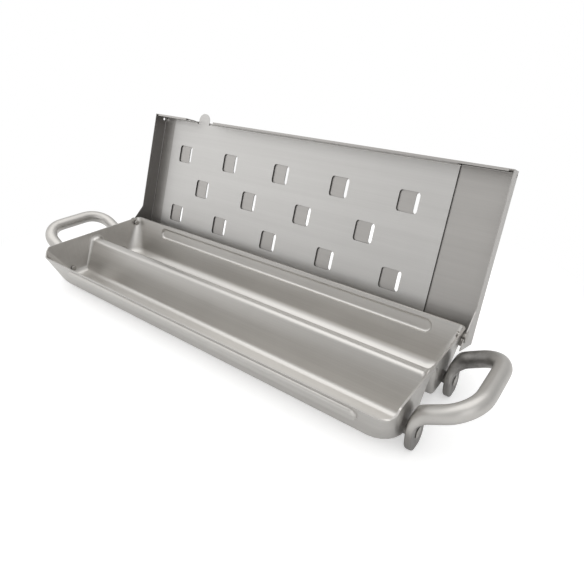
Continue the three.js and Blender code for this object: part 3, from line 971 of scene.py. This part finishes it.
def darken_cuts_and_paint_shade(piece, material, flanged_right):
    """Gives a flat sheet's cut faces a dark finish, partly their own colour and partly painted
    shadow; the same finish paints shade into the inner bends of a sheet flanged at its right end,
    and a shadow rim along the cuts of one that is not.

    Cut faces in a bend, or beyond one, keep the sheet's finish. A sheet that is flanged at its
    right end has a bend there too."""
    piece.data.materials.append(material)
    plane = max(OUTWARD.dot(vertex.co) for vertex in piece.data.vertices)
    # A painted shadow rim on the plate, along its cut edges that face right
    shadow_rims = set() if flanged_right else shadow_rim_faces(piece, plane)
    points = [vertex.co for vertex in piece.data.vertices]
    bent = [point for point in points if OUTWARD.dot(point) < plane - BEND_DEPTH]
    first = min(ALONG.dot(point) for point in points) + BEND_ZONE
    last = max(ALONG.dot(point) for point in bent) - BEND_ZONE
    left = min(point.x for point in points) + BEND_ZONE
    right = max(point.x for point in points)
    if flanged_right:
        right -= BEND_ZONE
    for face in piece.data.polygons:
        facing = OUTWARD.dot(face.normal)
        near_plane = OUTWARD.dot(face.center) > plane - BEND_DEPTH
        inside = first < ALONG.dot(face.center) < last and left < face.center.x <= right
        # Cut faces, darkened partly as painted shadow, and the painted shadow rim
        cut = abs(facing) < CUT_SLOPE or face.index in shadow_rims
        # Painted shade in the lid's inner bends
        turned_in = min(ALONG.dot(face.normal), face.normal.x) < -BEND_SLOPE
        bend = -CUT_SLOPE < facing < -BEND_SLOPE and turned_in
        if near_plane and ((cut and inside) or (bend and flanged_right)):
            face.material_index = 1


def shadow_rim_faces(piece, plane):
    """Marks off a narrow rim of painted shadow along the edges of a sheet's inner face, at its
    plane.

    Gives the numbers of the rim's faces along edges that face right."""

    def inner(face):
        near_plane = OUTWARD.dot(face.center) > plane - BEND_DEPTH
        return near_plane and OUTWARD.dot(face.normal) < -FLAT_SLOPE

    open_chosen(piece, "FACE", inner)
    bpy.ops.mesh.inset(thickness=SHADOW_RIM_WIDTH)
    close_mesh()
    beside = {}
    for face in piece.data.polygons:
        for edge in face.edge_keys:
            beside.setdefault(edge, []).append(face)
    shadow_rims = set()
    for face in piece.data.polygons:
        if face.select or OUTWARD.dot(face.normal) > -FLAT_SLOPE:
            continue
        around = [other for edge in face.edge_keys for other in beside[edge]]
        if any(other.normal.x > BEND_SLOPE for other in around):
            shadow_rims.add(face.index)
    return shadow_rims


# Handles


def lug_middle(size):
    """How far right of the object's middle the middle of the right handle's lugs lies."""
    return TRAY_HIGH.x + size.stand_off + size.lug_thickness / 2


def foot_sections(size, lug_y):
    """Sections of a lug's round foot, from its flat up to its full width."""
    up = Vector((0.0, 0.0, 1.0))
    inward = Vector((-1.0, 0.0, 0.0))
    radius = size.lug_width / 2
    first = math.acos(1.0 - size.foot_flat / radius)
    sections = []
    for step in range(FOOT_STEPS + 1):
        angle = first + (math.pi / 2 - first) * step / FOOT_STEPS
        height = radius * (1.0 - math.cos(angle)) - size.foot_flat
        width = 2.0 * radius * math.sin(angle)
        edge = max(1.0 - height / size.lug_edge, 0.0)
        thickness = size.lug_thickness - size.lug_edge * (1.0 - math.sqrt(1.0 - edge * edge))
        place = Vector((lug_middle(size), lug_y, height))
        sections.append((place, up, inward, width, thickness, size.lug_edge))
    return sections


def elbow_sections(size, lug_y, leg_y):
    """Sections of the elbow, where the flat lug turns into the round leg."""
    turn = math.pi / 2 - size.rise
    low = size.root_height - size.elbow_radius * math.tan(turn / 2)
    bar = 2.0 * size.bar_radius
    round_corner = size.bar_radius * ROUND_SHARE
    sections = []
    for step in range(ELBOW_STEPS + 1):
        share = step / ELBOW_STEPS
        angle = turn * share
        ease = share * share * (3.0 - 2.0 * share)
        place = Vector(
            (
                lug_middle(size) + size.elbow_radius * (1.0 - math.cos(angle)),
                lug_y + (leg_y - lug_y) * ease,
                low + size.elbow_radius * math.sin(angle),
            )
        )
        along = Vector((math.sin(angle), 0.0, math.cos(angle)))
        thick = Vector((-math.cos(angle), 0.0, math.sin(angle)))
        width = size.lug_width + (bar - size.lug_width) * ease
        thickness = size.lug_thickness + (bar - size.lug_thickness) * ease
        corner = size.lug_edge + (round_corner - size.lug_edge) * math.sqrt(ease)
        corner = min(corner, ROUND_SHARE * thickness / 2)
        sections.append((place, along, thick, width, thickness, corner))
    return sections


def grip_sections(size, leg_y):
    """Sections of the straight leg, its bend and half of the grip."""
    out = Vector((math.cos(size.rise), 0.0, math.sin(size.rise)))
    across = Vector((-math.sin(size.rise), 0.0, math.cos(size.rise)))
    root = Vector((lug_middle(size), leg_y, size.root_height))
    leg = size.reach - size.bend_radius
    bar = 2.0 * size.bar_radius
    corner = size.bar_radius * ROUND_SHARE
    sections = []
    for step in range(BEND_STEPS + 1):
        angle = math.pi / 2 * step / BEND_STEPS
        place = root + out * (leg + size.bend_radius * math.sin(angle))
        place.y = leg_y + size.bend_radius * (1.0 - math.cos(angle))
        along = out * math.cos(angle)
        along.y = math.sin(angle)
        sections.append((place, along, across, bar, bar, corner))
    middle = place.copy()
    middle.y = HANDLE_MIDDLE
    sections.append((middle, along, across, bar, bar, corner))
    return sections


def bar_sections(size):
    """Sections along half a handle, from its front lug's foot to the middle of its grip.

    Each is a place, the way along the bar, the way across its thickness, its width, its
    thickness and the radius of its corners."""
    lug_y = HANDLE_MIDDLE - size.lug_spacing / 2
    leg_y = HANDLE_MIDDLE - size.leg_spacing / 2
    return [
        *foot_sections(size, lug_y),
        *elbow_sections(size, lug_y, leg_y),
        *grip_sections(size, leg_y),
    ]


def add_section(place, along, thick, width, thickness, corner):
    """Adds a rounded rectangle across the bar to the mesh that is open."""
    turn = Matrix((thick.cross(along), thick, along)).transposed()
    bpy.ops.mesh.select_all(action="DESELECT")
    bpy.ops.mesh.primitive_plane_add(size=width, location=place, rotation=turn.to_euler())
    bpy.ops.transform.resize(
        value=(1.0, thickness / width, 1.0),
        orient_type="GLOBAL",
        orient_matrix=turn,
        orient_matrix_type="GLOBAL",
        center_override=place,
    )
    bpy.ops.mesh.bevel(offset=corner, segments=CORNER_STEPS, affect="VERTICES")
    bpy.ops.mesh.delete(type="ONLY_FACE")


def close_foot(bar):
    """Fills the lug's foot and keeps its edge crisp."""
    open_chosen(bar, "VERT", lambda vertex: vertex.co.z < FOOT_LEVEL)
    bpy.ops.mesh.edge_face_add()
    bpy.ops.mesh.inset(thickness=FOOT_BAND)
    close_mesh()


class SMOKER_OT_handles(bpy.types.Operator):
    """Loft the two handles through the sections of their bar"""

    bl_idname = "smoker.handles"
    bl_label = "Handles"

    def execute(self, context):
        colours = context.scene.smoker_steel
        # The forged bar's finish, with painted shade at the lugs' feet, on the underside and on the
        # right handle's back leg
        forged = steel(
            "forged_bar",
            colours.bar_tint,
            colours.bar_shade,
            colours.bar_roughness,
            BAR_GRAIN,
            BAR_SPECKLE,
            painted_shade=bar_painted_shade,
            painted_shade_tint=colours.painted_shade_tint,
        )
        bar = self.loft(context)
        for place in RIVET_PLACES:
            self.fit_rivet(bar, f"handle_rivet_right_{place}", context.scene)
        smooth(bar, BAR_SHARP_ANGLE)
        pick(bar)
        bpy.ops.object.duplicate()
        other = context.active_object
        other.name = "handle_bar_left"
        other.rotation_euler.z = math.pi
        for side, piece in (("right", bar), ("left", other)):
            set_origin(piece)
            finish_with(piece, forged)
            stand_for(piece, "box", "bar_steel", f"handle_{side}")
        return {"FINISHED"}

    def loft(self, context):
        """The right handle's bar: its front half through its sections, then mirrored."""
        bpy.ops.object.select_all(action="DESELECT")
        bpy.ops.mesh.primitive_plane_add(location=(0.0, HANDLE_MIDDLE, 0.0))
        bar = context.active_object
        bar.name = "handle_bar_right"
        open_mesh(bar)
        bpy.ops.mesh.delete(type="VERT")
        for section in bar_sections(context.scene.smoker_handle):
            add_section(*section)
        bpy.ops.mesh.select_all(action="SELECT")
        bpy.ops.mesh.bridge_edge_loops()
        close_mesh()
        close_foot(bar)
        modify(bar, "MIRROR", use_axis=(False, True, False), merge_threshold=MIRROR_MERGE)
        open_mesh(bar)
        bpy.ops.mesh.normals_make_consistent(inside=False)
        close_mesh()
        modify(bar, "SUBSURF", levels=1, render_levels=1)
        return bar

    def fit_rivet(self, bar, node, scene):
        """Adds the boss behind a lug and sinks the lug's face round the rivet's head."""
        low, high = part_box(node)
        size, rivet = scene.smoker_handle, scene.smoker_rivet
        place = (low + high) / 2
        wall = low.x + rivet.tail_height + TRAY_THICKNESS
        boss_profile = [(wall, size.boss_radius), (lug_middle(size), size.boss_radius)]
        cut_or_add(bar, turned("boss", boss_profile, place), "UNION")
        sink = rivet.head_radius + size.head_gap
        sink_profile = [(high.x - FLUSH_HEAD, sink), (high.x + size.lug_thickness, sink)]
        cut_or_add(bar, turned("sink", sink_profile, place), "DIFFERENCE")


# Rivets


def dome(base, crown, radius, steps):
    """Profile of a domed end, from its edge to near its middle."""
    points = []
    for step in range(steps + 1):
        angle = math.pi / 2 * step / (steps + 1)
        points.append((base + (crown - base) * math.sin(angle), radius * math.cos(angle)))
    return points


class SMOKER_OT_rivets(bpy.types.Operator):
    """Turn the four handle rivets and the two hinge rivets"""

    bl_idname = "smoker.rivets"
    bl_label = "Rivets"

    def execute(self, context):
        size = context.scene.smoker_rivet
        colours = context.scene.smoker_steel
        bright = steel(
            "rivet_steel",
            colours.rivet_tint,
            colours.rivet_shade,
            colours.rivet_roughness,
            RIVET_GRAIN,
            RIVET_SPECKLE,
        )
        for side in SIDES:
            for place in RIVET_PLACES:
                node = f"handle_rivet_{side}_{place}"
                self.rivet(node, self.handle_profile(node, size), bright)
            node = f"hinge_rivet_{side}"
            self.rivet(node, self.hinge_profile(node, size), bright)
        return {"FINISHED"}

    def tail_end(self, tip, inner, size):
        """The domed end of a tail, from its tip."""
        return reversed(dome((tip + inner) / 2, tip, size.tail_radius, TAIL_STEPS))

    def handle_profile(self, node, size):
        """A handle rivet from its tail inside the tray to its head in the lug."""
        low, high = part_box(node)
        tail, crown = sorted((low.x, high.x), key=abs)
        way = math.copysign(1.0, crown)
        seat = crown - way * FLUSH_HEAD
        inner = tail + way * size.tail_height
        return [
            *self.tail_end(tail, inner, size),
            (inner, size.tail_radius),
            (inner, size.shank_radius),
            (seat, size.shank_radius),
            (seat, size.head_radius),
            *dome(seat + way * FLUSH_HEAD / 2, crown, size.head_radius, HEAD_STEPS),
        ]

    def hinge_profile(self, node, size):
        """A hinge rivet from its tail inside the tray to its domed head outside the lid."""
        low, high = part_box(node)
        tail, crown = sorted((low.x, high.x), key=abs)
        way = math.copysign(1.0, crown)
        seat = crown - way * size.hinge_head_height
        inner = tail + way * size.tail_height
        shoulder = way * (TRAY_HIGH.x + HINGE_SHOULDER_OUT)
        return [
            *self.tail_end(tail, inner, size),
            (inner, size.tail_radius),
            (inner, HINGE_SHANK_RADIUS),
            (shoulder, HINGE_SHANK_RADIUS),
            (shoulder, size.shoulder_radius),
            (seat, size.shoulder_radius),
            (seat, size.hinge_head_radius),
            *dome(seat + way * HINGE_HEAD_EDGE, crown, size.hinge_head_radius, HINGE_HEAD_STEPS),
        ]

    def rivet(self, node, profile, material):
        """Turns one rivet and puts it in its node's place."""
        low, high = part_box(node)
        place = (low + high) / 2
        piece = turned(node.replace("rivet", "rivet_turned"), profile, place)
        finish_with(piece, material)
        stand_for(piece, "box", "rivet_steel", node)


# Stage


class SMOKER_OT_stage(bpy.types.Operator):
    """Add the floor, the sky, the lamps and the camera"""

    bl_idname = "smoker.stage"
    bl_label = "Stage"

    def execute(self, context):
        settings = context.scene.smoker_studio
        bpy.ops.object.select_all(action="DESELECT")
        bpy.ops.mesh.primitive_plane_add(size=settings.floor_size)
        floor = context.active_object
        floor.name = "floor"
        finish_with(floor, floor_paint())
        light_sky(context.scene, settings.sky_strength)
        for name, place, aim, size, watts in LAMPS:
            add_lamp(name, place, aim, size, watts)
        bpy.ops.object.camera_add(
            location=settings.camera_place, rotation=settings.camera_turn
        )
        camera = context.active_object
        camera.name = "camera"
        camera.data.lens = settings.lens
        camera.data.shift_x = settings.view_slide
        camera.data.shift_y = settings.view_drop
        camera.data.clip_start = CAMERA_NEAR
        context.scene.camera = camera
        context.scene.view_settings.view_transform = "Standard"
        return {"FINISHED"}


def add_lamp(name, place, aim, size, watts):
    """Adds a square softbox that faces a point."""
    turn = (Vector(place) - Vector(aim)).to_track_quat("Z", "Y").to_euler()
    bpy.ops.object.light_add(type="AREA", location=place, rotation=turn)
    lamp = bpy.context.active_object
    lamp.name = name
    lamp.data.shape = "SQUARE"
    lamp.data.size = size
    lamp.data.energy = watts


def floor_paint():
    """Pale floor with the object's shadow on it, and plain white to the camera further out."""
    material = bpy.data.materials.new("floor_paint")
    material.use_nodes = True
    bench = Bench(material.node_tree)
    place = bench.node("ShaderNodeTexCoord").out("Object")
    mottle = bench.noise(place, *FLOOR_MOTTLE)
    colour = bench.mixed(mottle, FLOOR_SHADE, FLOOR_TINT)
    away = bench.node("ShaderNodeVectorMath", {"operation": "LENGTH"}, {0: place}).out("Value")
    light_path = bench.node("ShaderNodeLightPath")
    seen = light_path.out("Is Camera Ray")
    glow = seen * FLOOR_LIFT + light_path.out("Is Glossy Ray") * GLOSS_LIFT
    near = bench.node(
        "ShaderNodeBsdfPrincipled",
        {},
        {
            "Base Color": colour,
            "Roughness": FLOOR_ROUGHNESS,
            "Specular IOR Level": 0.0,
            "Emission Color": glow,
            "Emission Strength": 1.0,
        },
    ).out()
    white = bench.node("ShaderNodeEmission", {}, {"Color": WHITE, "Strength": 1.0}).out()
    far = seen * away.ramp(SHADOW_REACH, SHADOW_END)
    surface = bench.node("ShaderNodeMixShader", {}, {0: far, 1: near, 2: white}).out()
    bench.node("ShaderNodeOutputMaterial", {}, {"Surface": surface})
    return material


def light_sky(scene, strength):
    """A white studio: brightest overhead, a little darker to the right, white to the camera."""
    world = bpy.data.worlds.new("studio_sky")
    world.use_nodes = True
    scene.world = world
    bench = Bench(world.node_tree)
    direction = bench.node("ShaderNodeTexCoord").out("Generated")
    parts = bench.node("ShaderNodeSeparateXYZ", {}, {0: direction})
    height = parts.out("Z")
    rightward = parts.out("X")
    sideways = rightward.ramp(SKY_TURN_START, SKY_TURN_END)
    upward = height.ramp(SKY_RISE_START, SKY_RISE_END)
    level = bench.mixed(sideways, SKY_LEFT, SKY_RIGHT)
    sky = bench.mixed(upward, level, SKY_OVERHEAD)
    seen = bench.node("ShaderNodeLightPath").out("Is Camera Ray")
    around = bench.node("ShaderNodeBackground", {}, {"Color": sky, "Strength": strength}).out()
    white = bench.node("ShaderNodeBackground", {}, {"Color": WHITE, "Strength": 1.0}).out()
    surface = bench.node("ShaderNodeMixShader", {}, {0: seen, 1: around, 2: white}).out()
    bench.node("ShaderNodeOutputWorld", {}, {"Surface": surface})


# Panel and registration


class SMOKER_PT_panel(bpy.types.Panel):
    """Lists the operators and the settings"""

    bl_idname = "SMOKER_PT_panel"
    bl_label = "Smoker box"
    bl_space_type = "VIEW_3D"
    bl_region_type = "UI"
    bl_category = "Smoker box"

    def draw(self, context):
        column = self.layout.column(align=True)
        for operator in OPERATORS:
            column.operator(operator.bl_idname)
        for settings in SETTINGS:
            group = getattr(context.scene, settings)
            box = self.layout.box()
            for name in group.__annotations__:
                box.prop(group, name)


SETTINGS = {
    "smoker_handle": HandleSettings,
    "smoker_rivet": RivetSettings,
    "smoker_steel": SteelSettings,
    "smoker_studio": StudioSettings,
}
OPERATORS = (SMOKER_OT_sheets, SMOKER_OT_handles, SMOKER_OT_rivets, SMOKER_OT_stage)
CLASSES = (*SETTINGS.values(), *OPERATORS, SMOKER_PT_panel)


def register():
    for each in CLASSES:
        bpy.utils.register_class(each)
    for name, group in SETTINGS.items():
        setattr(bpy.types.Scene, name, bpy.props.PointerProperty(type=group))


def unregister():
    for name in SETTINGS:
        delattr(bpy.types.Scene, name)
    for each in reversed(CLASSES):
        bpy.utils.unregister_class(each)


def main():
    register()
    bpy.ops.smoker.sheets()
    bpy.ops.smoker.handles()
    bpy.ops.smoker.rivets()
    bpy.ops.smoker.stage()


if __name__ == "__main__":
    main()
